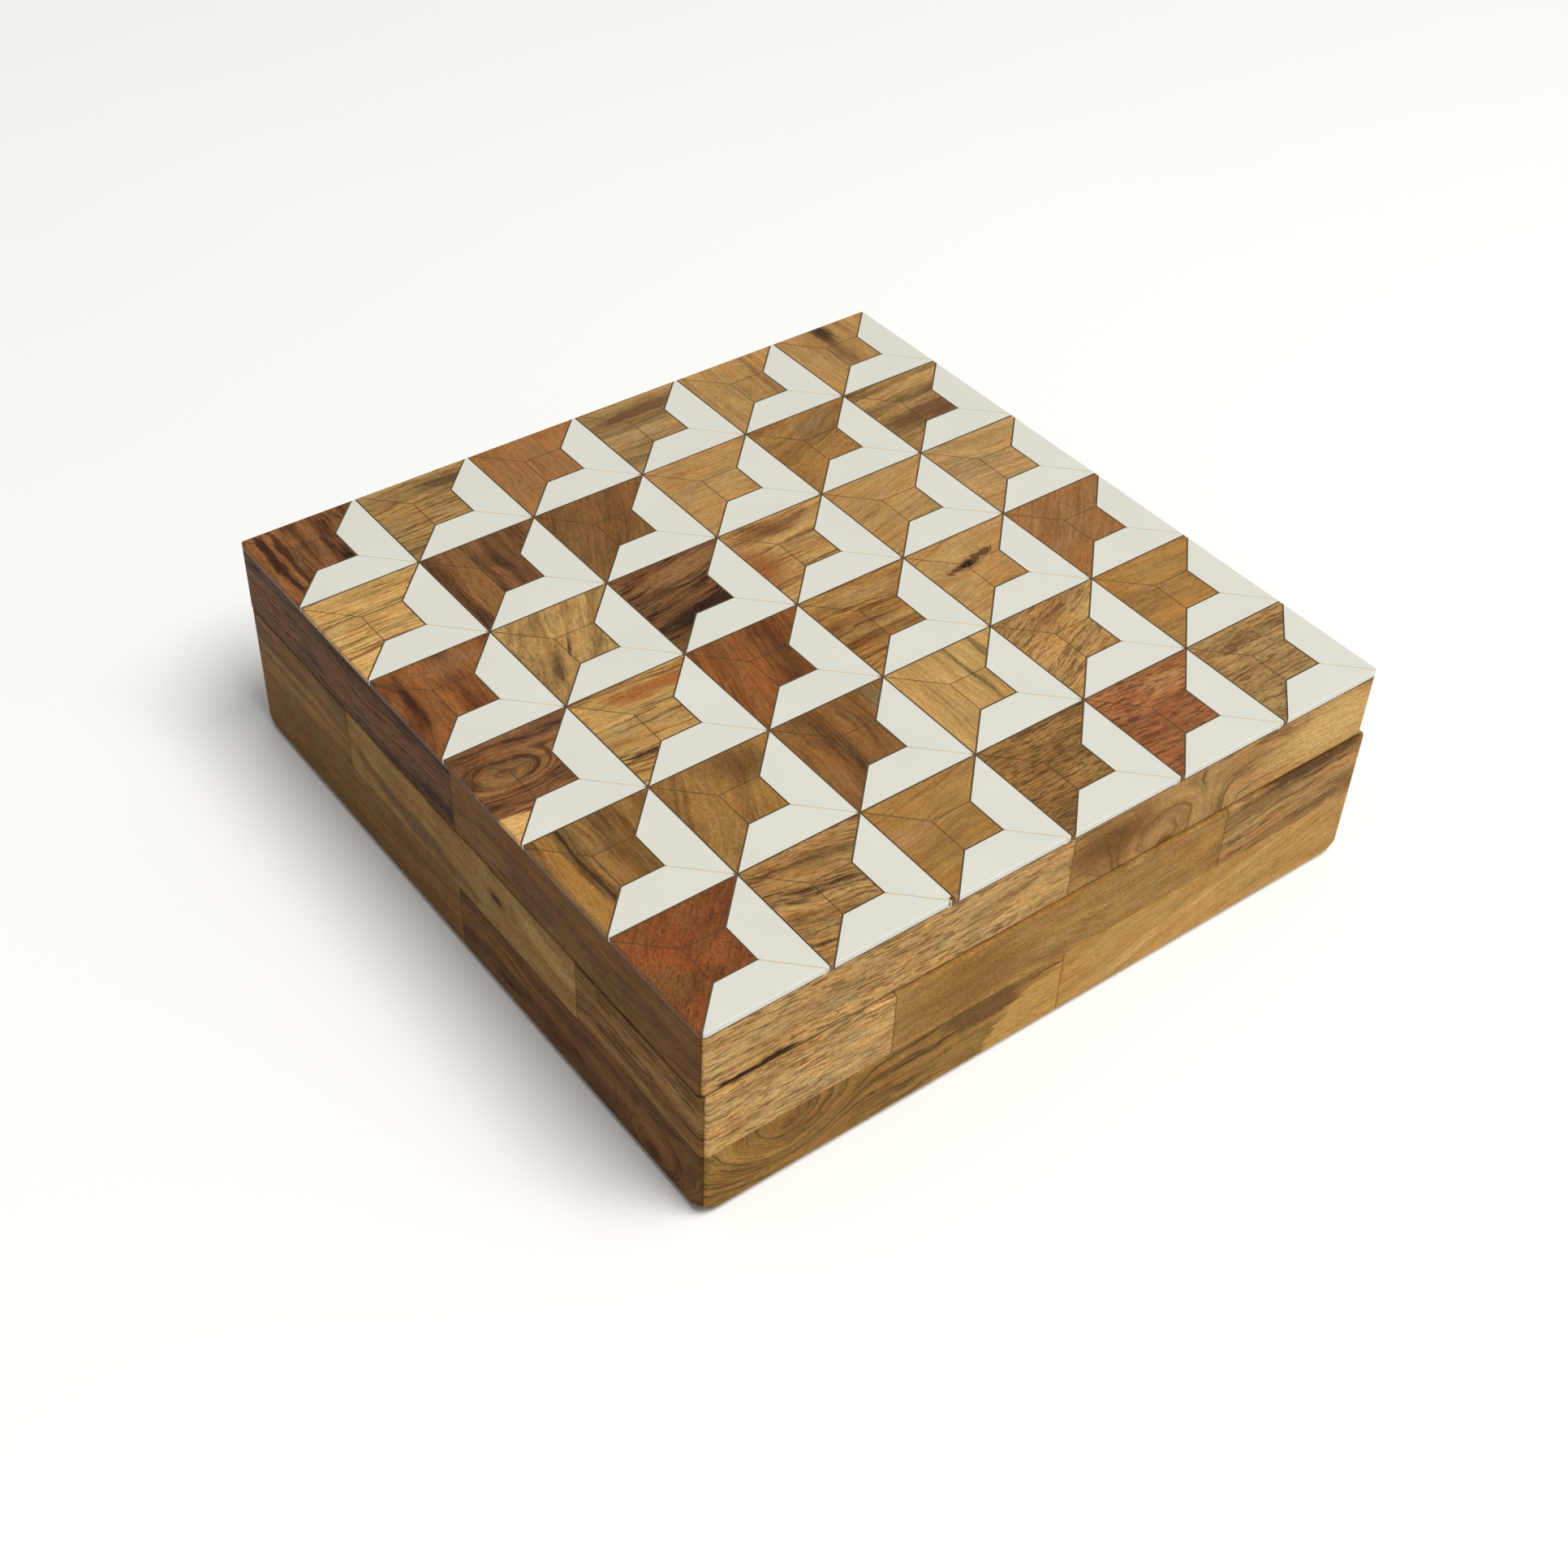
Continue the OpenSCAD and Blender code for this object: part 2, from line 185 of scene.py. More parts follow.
def hardwood(name, shine):
    """Oiled hardwood. The block's place, tones, figure, knot and stains are attributes of the mesh.

    x runs along the grain and y across it, in mm. Every grain() has a seed of its own.
    """
    s = Shader(name)
    x, y, z = s.split(s.attribute("wood_co"))
    bands, lines, pores = s.split(s.attribute("wood_figure"))
    spacing, bend, mottling = s.split(s.attribute("wood_grain"))
    light, dark = s.attribute("wood_light", "Color"), s.attribute("wood_dark", "Color")
    deep = s.blend(1.0, dark, DEEPER, "MULTIPLY")

    # The grain bends slowly over the piece, wavers a little, and is pushed aside by a knot
    slow_bend = s.minus(s.grain(x, y, z, 60, 35, 2.0, 1.7), 0.5)
    quick_bend = s.minus(s.grain(x, y, z, 16, 8, 2.0, 5.3), 0.5)
    jitter = s.minus(s.grain(x, y, z, 5, 2.2, 2.0, 0.9), 0.5)
    swell, halo, eye = knot_field(s, x, y, quick_bend)
    across = s.add(y, s.times(z, 0.4), s.times(slow_bend, bend), s.times(quick_bend, bend, 0.25),
                   s.times(jitter, 1.1), swell)

    # Wide bands, growth lines, fibres and mottling between the light and the dark tone
    band = s.step(s.grain(x, across, 0.0, 150, 7, 2.0, 3.1), 0.38, 0.60)
    line, soft_line = growth_lines(s, x, across, z, spacing, lines)
    fibre = s.minus(s.grain(x, across, z, 14, 0.8, 4.0, 2.2), 0.5)
    mottle = s.minus(s.grain(x, y, z, 9, 5, 4.0, 9.4), 0.5)
    amount = s.add(s.times(band, bands), s.times(soft_line, lines), s.times(fibre, 1.3),
                   s.times(mottle, mottling), 0.12)
    colour = s.blend(s.math("MAXIMUM", amount, 0.0, clamp=True), light, dark)
    tint = s.step(s.grain(x, across, z, 16, 6, 3.0, 3.9), 0.3, 0.7)
    colour = s.blend(1.0, colour, s.blend(tint, WARMER, COOLER), "MULTIPLY")
    colour = s.blend(s.math("MULTIPLY", line, lines, clamp=True), colour, deep)

    # Stains: long patches of another tone that follow the grain
    blotch = s.minus(s.grain(x, y, z, 7, 3, 4.0, 6.6), 0.5)
    drifted = s.add(y, s.times(slow_bend, bend, 0.5), s.times(quick_bend, 3.0))
    for letter in "ab":
        tone = s.attribute("wood_stain_tone_" + letter, "Color")
        shaded = s.blend(s.times(s.math("MAXIMUM", fibre, 0.0), 1.2), tone, deep)
        colour = s.blend(stain_mask(s, letter, x, drifted, s.add(fibre, blotch)), colour, shaded)

    # Pores are short dark scores along the grain, and speckles are finer still
    pore = s.step(s.grain(x, across, z, 4.5, 0.5, 1.0, 4.4), 0.52, 0.62)
    pore_patch = s.step(s.grain(x, y, z, 20, 8, 2.0, 8.8), 0.25, 0.55, 0.4, 1.0)
    pore = s.times(pore, pores, s.math("MAXIMUM", pore_patch, soft_line))
    colour = s.blend(s.times(pore, 0.55), colour, deep)
    speckle = s.minus(s.grain(x, y, z, 1.0, 0.7, 3.0, 2.9), 0.5)
    contrast = s.math("MULTIPLY_ADD", mottling, 0.6, 0.2)
    colour = s.blend(1.0, colour, s.math("MULTIPLY_ADD", speckle, contrast, 1.0), "MULTIPLY")

    # A knot's halo and eye, the glue that darkens the wood beside its joints, and painted shade at the
    # seam below the lid
    colour = s.blend(halo, colour, rgb("5c2f18"))
    colour = s.blend(eye, colour, rgb("1c100b"))
    colour = s.blend(glue_lines_and_seam_shade(s), colour, deep)

    height = s.math("MULTIPLY_ADD", pore, -0.8, s.math("MULTIPLY_ADD", fibre, 0.5, 0.7))
    roughness = s.math("MULTIPLY_ADD", pore, 0.2, 0.45)
    return s.surface(colour, roughness, height, FINE_RELIEF, Specular_IOR_Level=shine)


def knot_field(s, x, y, waver):
    """(how far a knot pushes the grain aside in mm, the strength of its halo, and that of its eye)."""
    knot_x, knot_y, radius = s.split(s.attribute("wood_knot"))
    reach, core, stretch = s.split(s.attribute("wood_knot_look"))
    has_knot = s.math("GREATER_THAN", radius, 0.05)
    span = s.math("MAXIMUM", s.times(radius, reach), 0.01)
    off_x = s.math("DIVIDE", s.minus(x, knot_x), stretch)
    away = s.add(s.length(off_x, s.minus(y, knot_y)), s.times(waver, span, 0.3))
    swell = s.times(s.step(s.math("DIVIDE", away, span), 0.0, 1.0, 1.6, 0.0), span, has_knot)
    radii = s.math("DIVIDE", away, s.math("MAXIMUM", radius, 0.01))
    halo = s.times(s.step(radii, 0.8, 2.4, 0.55, 0.0), has_knot, core)
    eye = s.times(s.step(radii, 0.5, 1.1, 1.0, 0.0), has_knot, core)
    return swell, halo, eye


def growth_lines(s, x, across, z, spacing, lines):
    """(thin dark lines, soft shade beside them), both broken up along the grain."""
    wander = s.grain(x, s.math("DIVIDE", across, spacing), 0.0, 60, 1.0, 2.0, 7.7)
    ridge = s.math("ABSOLUTE", s.minus(wander, 0.5))
    strength = s.times(s.step(s.grain(x, across, z, 26, 4, 2.0, 6.1), 0.38, 0.56),
                       s.step(s.grain(x, across, z, 5, 0.8, 2.0, 1.1), 0.38, 0.56, 0.25, 1.0))
    edge = s.math("MULTIPLY_ADD", lines, 0.05, 0.035)
    line = s.times(s.step(ridge, 0.010, edge, 1.0, 0.0), strength)
    fading = s.math("MULTIPLY_ADD", strength, 0.7, 0.3)
    soft_line = s.times(s.step(ridge, 0.0, 0.16, 0.35, 0.0), fading)
    return line, soft_line


def stain_mask(s, letter, x, y, grit):
    """How strongly a stain covers the wood. grit makes its edge ragged, and a narrow stain's the most."""
    stain_x, stain_y, strength = s.split(s.attribute("wood_stain_" + letter))
    long, wide, softness = s.split(s.attribute("wood_stain_size_" + letter))
    ragged = s.math("MINIMUM", s.add(s.math("DIVIDE", 3.0, wide), 0.15), 2.5)
    off_x = s.math("DIVIDE", s.minus(x, stain_x), long)
    off_y = s.math("DIVIDE", s.minus(y, stain_y), wide)
    edge = s.add(s.length(off_x, off_y), s.times(grit, ragged))
    return s.times(s.step(edge, 1.0, s.minus(1.0, softness), 0.0, 1.0), strength)


def glue_lines_and_seam_shade(s):
    """Glue darkening, from its strength at a joint to 0 a little way in, and painted shade just above the
    seam.
    """
    u, v, half_length = s.split(s.attribute("wood_rim"))
    wide, tall = s.math("ABSOLUTE", u), s.math("ABSOLUTE", v)
    # In a cell: the outline of the centre square, a third as wide, and the mitre at its back left corner
    _, cell = lid_grid()
    half_square = cell / MM / 3 / 2
    outline = s.math("ABSOLUTE", s.minus(s.math("MAXIMUM", wide, tall), half_square))
    mitre = s.times(s.math("ABSOLUTE", s.add(u, v)), math.sqrt(0.5))
    out_of_reach = 50.0
    mitre = s.add(mitre, s.times(s.math("GREATER_THAN", u, -half_square), out_of_reach))
    in_cell = s.step(s.math("MINIMUM", outline, mitre), 0.05, 0.28, 0.5, 0.0)
    # On a stave: its ends and its lower edge
    to_edge = s.math("MINIMUM", s.minus(half_length, wide), s.add(v, ROW_HALF_HEIGHT))
    on_stave = s.step(to_edge, 0.05, 0.5, 0.4, 0.0)
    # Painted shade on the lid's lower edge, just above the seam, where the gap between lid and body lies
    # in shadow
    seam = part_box("lid_stave_front_1")[0].z / MM
    height = s.split(s.place())[2]
    below_lid = s.step(height, seam - 0.2, seam - 0.1)
    painted_seam_shade = s.times(s.step(height, seam + 0.1, seam + 1.0, 0.7, 0.0), below_lid)
    shade = s.mix(s.math("GREATER_THAN", half_length, 0.5), in_cell, on_stave)
    return s.math("MAXIMUM", shade, painted_seam_shade)


def white_resin():
    """Cast resin, faintly clouded and speckled."""
    s = Shader("white_resin")
    place = s.place()
    cloud = s.noise(place, 0.05, 3.0)
    speck = s.step(s.noise(place, 1.6, 2.0), 0.70, 0.78)
    colour = s.blend(cloud, rgb("cdccc2"), rgb("d4d4cb"))
    colour = s.blend(s.times(speck, 0.10), colour, rgb("a89a78"))
    # One chipped tip at the front edge, filled with brown
    centre, cell = lid_grid()
    x, y, _ = s.split(place)
    chip_x = (centre.x - cell) / MM - 0.4
    chip_y = (centre.y - CELLS_A_SIDE / 2 * cell) / MM + 0.8
    ragged = s.times(s.minus(s.noise(place, 1.1, 2.0), 0.5), 1.6)
    chip = s.add(s.length(s.minus(x, chip_x), s.minus(y, chip_y)), ragged)
    colour = s.blend(s.step(chip, 1.0, 1.4, 1.0, 0.0), colour, rgb("5e3d20"))
    ripple = s.noise(place, 0.35, 4.0)
    roughness = s.math("MULTIPLY_ADD", ripple, 0.14, 0.32)
    return s.surface(colour, roughness, ripple, FINE_RELIEF, Specular_IOR_Level=0.25)


def filler():
    """Dark brown beside wood and round the cells, pinkish tan between white pieces."""
    s = Shader("joint_filler")
    place = s.place()
    centre, cell = lid_grid()
    x, y, _ = s.split(place)
    # u and v run from 0 to 1 across a cell. The mitre between its white pieces is where they add up to 1
    # and u is over two thirds.
    u, v = (s.math("FRACT", s.math("MULTIPLY_ADD", value, MM / cell, CELLS_A_SIDE / 2 - middle / cell))
            for value, middle in ((x, centre.x), (y, centre.y)))
    on_mitre = s.step(s.math("ABSOLUTE", s.add(u, v, -1.0)), 0.02, 0.03, 1.0, 0.0)
    between = s.times(on_mitre, s.step(u, 0.67, 0.68), s.step(u, 0.97, 0.985, 1.0, 0.0))
    grit = s.noise(place, 2.5, 3.0)
    dark = s.blend(grit, rgb("38280f"), rgb("664f2a"))
    pale = s.blend(s.noise(place, 0.08, 2.0), rgb("c9ac8d"), rgb("d3c4a4"))
    return s.surface(s.blend(between, dark, pale), roughness=0.6, height=grit, depth=FINE_RELIEF)


def core_wood():
    """Sealed fibreboard: an even brown with short pale and dark fibres."""
    s = Shader("core_wood")
    place = s.place()
    fibre = s.noise(place, 3.0, 4.0, 0.7)
    cloud = s.noise(place, 0.06, 3.0)
    colour = s.blend(s.step(fibre, 0.35, 0.68), rgb("8b6844"), rgb("b08e63"))
    colour = s.blend(s.times(cloud, 0.35), colour, rgb("7a5836"))
    return s.surface(colour, roughness=0.62, height=fibre, depth=0.00005)


def felt():
    """Charcoal felt with a short nap."""
    s = Shader("felt")
    place = s.place()
    fibre = s.noise(place, 4.0, 5.0, 0.75)
    clump = s.noise(place, 0.7, 3.0)
    colour = s.blend(s.step(fibre, 0.35, 0.7), rgb("0f0e0e"), rgb("2c2a29"))
    colour = s.blend(s.times(clump, 0.3), colour, rgb("3a3736"))
    height = s.math("MULTIPLY_ADD", fibre, 0.6, s.times(clump, 0.4))
    return s.surface(colour, roughness=0.95, height=height, depth=0.0003, Sheen_Weight=0.25,
                     Sheen_Roughness=0.5)


def brass(name, code):
    """Brushed along the hinge, with duller spots."""
    s = Shader(name)
    place = s.place()
    x, y, z = s.split(place)
    brush = s.grain(y, x, z, 6.0, 0.12, 2.0)
    tarnish = s.noise(place, 0.35, 4.0)
    colour = s.blend(s.times(tarnish, 0.45), rgb(code), rgb("6f5428"))
    roughness = s.add(s.times(brush, 0.12), s.times(tarnish, 0.16), 0.14)
    return s.surface(colour, roughness, brush, depth=0.000004, Metallic=1.0)


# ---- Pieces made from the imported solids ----

def softened(node, width, segments=2):
    """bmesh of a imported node, with its flat faces whole again and its sharp edges rounded by width."""
    bm = bmesh.new()
    bm.from_mesh(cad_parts[node].data)
    bmesh.ops.remove_doubles(bm, verts=bm.verts, dist=MERGE_DISTANCE)
    bmesh.ops.dissolve_limit(bm, angle_limit=FLAT_WITHIN, verts=bm.verts, edges=bm.edges)
    edges = [e for e in bm.edges if e.is_manifold and e.calc_face_angle() > ROUND_ABOVE]
    bmesh.ops.bevel(bm, geom=edges, offset=width, offset_type="OFFSET", segments=segments,
                    profile=0.5, affect="EDGES", clamp_overlap=True)
    return bm


def islands(bm):
    """The loose parts of a mesh, each as a list of vertices."""
    left, found = set(bm.verts), []
    for seed in bm.verts:
        if seed not in left:
            continue
        left.discard(seed)
        part, queue = [], [seed]
        while queue:
            vert = queue.pop()
            part.append(vert)
            for edge in vert.link_edges:
                other = edge.other_vert(vert)
                if other in left:
                    left.discard(other)
                    queue.append(other)
        found.append(part)
    return found


def finished(name, bm, material, node, body):
    """The bmesh as an object that stands for a node and rides on a body."""
    mesh = bpy.data.meshes.new(name)
    bm.to_mesh(mesh)
    bm.free()
    for polygon in mesh.polygons:
        polygon.use_smooth = True
    piece = bpy.data.objects.new(name, mesh)
    bpy.context.scene.collection.objects.link(piece)
    mesh.materials.append(material)
    mesh.set_sharp_from_angle(angle=SHARP_ABOVE)
    weighted = piece.modifiers.new("weighted", "WEIGHTED_NORMAL")
    weighted.keep_sharp = True
    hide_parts(node)
    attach(piece, body)
    return piece


def prepared(node, width):
    """The softened node with empty layers for the attributes of its wood."""
    bm = softened(node, width)
    for name in ("co", "rim", "figure", "grain", "knot", "knot_look",
                 "stain_a", "stain_b", "stain_size_a", "stain_size_b"):
        bm.verts.layers.float_vector.new("wood_" + name)
    for name in ("light", "dark", "stain_tone_a", "stain_tone_b"):
        bm.verts.layers.float_color.new("wood_" + name)
    return bm


# Light and dark tone of each wood
TONES = {
    "honey": ("c8a163", "926a39"),
    "gold": ("be9454", "946a33"),
    "straw": ("b58f57", "6d502b"),
    "tan": ("b88e56", "886337"),
    "sand": ("b08b58", "7a5f39"),
    "caramel": ("aa7e44", "7a532a"),
    "olive": ("9d7440", "614523"),
    "moss": ("9a743a", "634823"),
    "chestnut": ("a77747", "6b4524"),
    "copper": ("a06f40", "794f2b"),
    "rust": ("8c5129", "5f341b"),
    "cherry": ("9c643c", "6d4226"),
    "russet": ("8a562b", "512d17"),
    "brown": ("8b6033", "53371c"),
    "walnut": ("7f5733", "452b19"),
    "ebony": ("855832", "20110a"),
}

# Strength of bands, lines and pores; then the distance between lines in mm, how far the grain bends in
# mm, and the strength of the mottling
FIGURES = {
    "plain": ((0.25, 0.25, 0.35), (1.8, 9.0, 0.9)),
    "cloudy": ((0.45, 0.15, 0.40), (3.0, 16.0, 1.4)),
    "speckled": ((0.25, 0.05, 0.50), (3.0, 9.0, 2.3)),
    "flecked": ((0.30, 0.45, 1.20), (1.6, 5.0, 1.3)),
    "banded": ((0.60, 0.35, 0.45), (1.8, 10.0, 1.0)),
    "lined": ((0.30, 0.85, 0.50), (1.4, 8.0, 0.9)),
    "streaked": ((0.65, 0.75, 0.55), (1.6, 9.0, 1.0)),
    "zebra": ((0.40, 1.05, 0.90), (1.4, 13.0, 1.2)),
    "ringed": ((0.40, 0.75, 0.35), (3.4, 9.0, 1.2)),
}


class Stain:
    """A patch at x, y that is 2 * long along the grain and 2 * wide across it, all in mm.

    softness is the share of it that fades out.
    """

    def __init__(self, x, y, long, wide, tone, strength=0.8, softness=0.5):
        self.x, self.y = x, y
        self.size = (long, wide, softness)
        self.tone, self.strength = tone, strength


class Knot:
    """A knot at x, y that pushes the grain aside as far as reach times its radius, all in mm.

    core is how dark its eye is, and stretch is how much longer its rings are than wide.
    """

    def __init__(self, x, y, radius, reach=3.5, core=1.0, stretch=1.8):
        self.x, self.y, self.radius = x, y, radius
        self.look = (reach, core, stretch)


NO_STAIN = Stain(0, 0, 1, 1, "000000", 0.0)
NO_KNOT = Knot(0, 0, 0)


class Wood:
    """A block of wood. turn is the direction of the grain in degrees, and share is its brightness."""

    def __init__(self, tone, figure, turn=0, share=1.0, knot=NO_KNOT, stains=()):
        self.light, self.dark = TONES[tone]
        self.figure, self.grain = FIGURES[figure]
        self.turn, self.share, self.knot = turn, share, knot
        self.stains = (list(stains) + [NO_STAIN, NO_STAIN])[:2]

    def attributes(self, share, shift):
        """The values that are the same all over the piece, by the kind of their layer."""
        turned = Matrix.Rotation(-math.radians(self.turn), 3, "Z")

        def placed(x, y, third):
            spot = turned @ Vector((x, y, 0.0)) + shift
            return Vector((spot.x, spot.y, third))

        share = share * self.share
        vectors = {"wood_figure": Vector(self.figure), "wood_grain": Vector(self.grain),
                   "wood_knot": placed(self.knot.x, self.knot.y, self.knot.radius),
                   "wood_knot_look": Vector(self.knot.look)}
        colours = {"wood_light": rgb(self.light, share), "wood_dark": rgb(self.dark, share)}
        for letter, stain in zip("ab", self.stains):
            vectors["wood_stain_" + letter] = placed(stain.x, stain.y, stain.strength)
            vectors["wood_stain_size_" + letter] = Vector(stain.size)
            colours["wood_stain_tone_" + letter] = rgb(stain.tone, share)
        return vectors, colours

    def paint(self, bm, verts, to_face, share, shift, half_length=0.0):
        """Writes the wood's attributes. to_face turns the row frame into mm on the piece's face.

        half_length is half a stave's length in mm, and 0 in a cell.
        """
        to_block = Matrix.Translation(shift) @ Matrix.Rotation(-math.radians(self.turn), 4, "Z") @ to_face
        vectors, colours = self.attributes(share, shift)
        vector_layers, colour_layers = bm.verts.layers.float_vector, bm.verts.layers.float_color
        for vert in verts:
            spot = to_face @ vert.co
            vert[vector_layers["wood_rim"]] = (spot.x, spot.y, half_length)
            vert[vector_layers["wood_co"]] = to_block @ vert.co
            for name, value in vectors.items():
                vert[vector_layers[name]] = value
            for name, value in colours.items():
                vert[colour_layers[name]] = value


# The wood of each cell, by column from the left and by row from the front. Stains and knots are in mm
# from the cell's middle.
CELLS = {
    (0, 5): Wood("ebony", "banded", 90, 1.18, stains=[Stain(-12, 0, 25, 1.8, "2a150d", 0.9),
                                                      Stain(-8.5, 0, 25, 1.0, "2a150d", 0.8)]),
    (1, 5): Wood("straw", "lined", 2, 0.90, stains=[Stain(7, 11.5, 12, 3.0, "5a4028", 0.8)]),
    (2, 5): Wood("copper", "plain", 85, 0.98),
    (3, 5): Wood("sand", "banded", 0, 0.98, stains=[Stain(2, 9.5, 22, 3.0, "5c4029", 0.85)]),
    (4, 5): Wood("tan", "plain", 88, 0.96, stains=[Stain(3, 0, 25, 1.0, "7c5a34", 0.7)]),
    (5, 5): Wood("tan", "plain", 90, 0.93, stains=[Stain(-2, 12, 10, 3.8, "2c1f17", 0.95, 0.8),
                                                   Stain(-3, 2, 16, 4.0, "6b4b30", 0.7, 0.9)]),
    (0, 4): Wood("honey", "lined", 3, 1.10, stains=[Stain(-4, -6.5, 16, 0.8, "66462a", 0.8)]),
    (1, 4): Wood("walnut", "banded", 85, 1.1, stains=[Stain(-9, 0, 25, 4.0, "8c6134", 0.7)]),
    (2, 4): Wood("brown", "plain", 60, 0.92),
    (3, 4): Wood("tan", "plain", 0, 1.0),
    (4, 4): Wood("caramel", "cloudy", 25, 0.90, stains=[Stain(2, 12, 10, 4.0, "7f6a48", 0.6)]),
    (5, 4): Wood("straw", "banded", 0, 0.98, stains=[Stain(2, -1.0, 26, 5.0, "63402a", 0.85)]),
    (0, 3): Wood("russet", "cloudy", 85, 1.08, knot=Knot(-17, 3, 1.6, 7.0, 0.0, 2.0),
                 stains=[Stain(-12, 5, 12, 2.2, "331a12", 0.9, 0.9),
                         Stain(3, 12, 6, 16, "8b6340", 0.6, 0.9)]),
    (1, 3): Wood("straw", "cloudy", 60, 1.03, stains=[Stain(-12, -3, 9, 2.4, "33261a", 0.85, 0.9),
                                                      Stain(-5, 3, 5.0, 0.8, "33271a", 0.85, 0.8)]),
    (2, 3): Wood("walnut", "zebra", 8, 1.08, stains=[Stain(0, -3.8, 26, 4.4, "1c110c", 0.9),
                                                     Stain(2, 11, 20, 3.6, "86603a", 0.9)]),
    (3, 3): Wood("tan", "lined", 0, 1.10, stains=[Stain(-15, 0, 10, 14, "854a24", 0.85, 0.9),
                                                  Stain(-3, 12, 18, 5, "643a1d", 0.9, 0.9)]),
    (4, 3): Wood("tan", "plain", 15, 0.94),
    (5, 3): Wood("sand", "plain", -8, 1.13, stains=[Stain(0, 13, 18, 4, "8f6c40", 0.7, 0.9)]),
    (0, 2): Wood("walnut", "ringed", -6, 1.42, knot=Knot(-7, 4, 2.2, 4.0, 0.0, 2.4),
                 stains=[Stain(-15, -13, 14, 7.6, "b08a53", 0.95, 0.2),
                         Stain(-8, 4, 8, 3.4, "775630", 0.7, 0.8)]),
    (1, 2): Wood("honey", "lined", -2, 0.92, stains=[Stain(5, 11, 16, 3.2, "a85f2b", 0.8),
                                                     Stain(0, -7.0, 20, 1.2, "2e1f14", 0.9)]),
    (2, 2): Wood("russet", "banded", 75, 1.14, stains=[Stain(2, 0, 22, 1.6, "3f2412", 0.5)]),
    (3, 2): Wood("caramel", "streaked", 0, 1.05, stains=[Stain(2, 12, 18, 4, "b58a55", 0.7, 0.9)]),
    (4, 2): Wood("tan", "plain", 8, 1.07, knot=Knot(-5, 5.5, 1.1, 5.0, 1.0, 2.2),
                 stains=[Stain(-1, 6.0, 9, 1.4, "4a2716", 0.85)]),
    (5, 2): Wood("copper", "plain", 45, 0.98),
    (0, 1): Wood("olive", "banded", 90, 0.94, stains=[Stain(-12, 0, 25, 3.0, "a8783a", 0.8, 0.4),
                                                      Stain(-8, 0, 25, 0.8, "2c1e12", 0.8)]),
    (1, 1): Wood("caramel", "cloudy", 65, 0.82, stains=[Stain(4, 12, 10, 12, "563619", 0.6, 0.9)]),
    (2, 1): Wood("brown", "banded", 88, 0.97, stains=[Stain(12, 10, 12, 4.0, "857047", 0.6)]),
    (3, 1): Wood("honey", "plain", 90, 0.89, stains=[Stain(2, 4, 16, 0.9, "6f5a34", 0.8),
                                                     Stain(9, 8, 14, 1.2, "5e4a2c", 0.7)]),
    (4, 1): Wood("tan", "flecked", 22, 1.0, stains=[Stain(0, 13, 16, 4, "86623a", 0.6, 0.9)]),
    (5, 1): Wood("caramel", "plain", 0, 1.0),
    (0, 0): Wood("rust", "speckled", 45, 0.95, stains=[Stain(-14, 0, 7, 12, "75502c", 0.8, 0.9)]),
    (1, 0): Wood("tan", "zebra", -12, 0.98, stains=[Stain(-2, 3, 18, 1.6, "2a1a10", 0.8, 0.9),
                                                    Stain(2, 11, 18, 2.4, "5a3c20", 0.7, 0.9)]),
    (2, 0): Wood("caramel", "plain", 5, 0.95, stains=[Stain(-12, 4, 10, 4.5, "b58660", 0.5, 0.9)]),
    (3, 0): Wood("olive", "flecked", 0, 0.96, stains=[Stain(2, 13, 18, 4, "a77c47", 0.7, 0.9)]),
    (4, 0): Wood("cherry", "flecked", -3, 1.07, stains=[Stain(6, 11, 16, 5, "a9794a", 0.85, 0.9)]),
    (5, 0): Wood("sand", "flecked", 0, 1.0, stains=[Stain(0, 11, 20, 2.0, "7c5c38", 0.7)]),
}

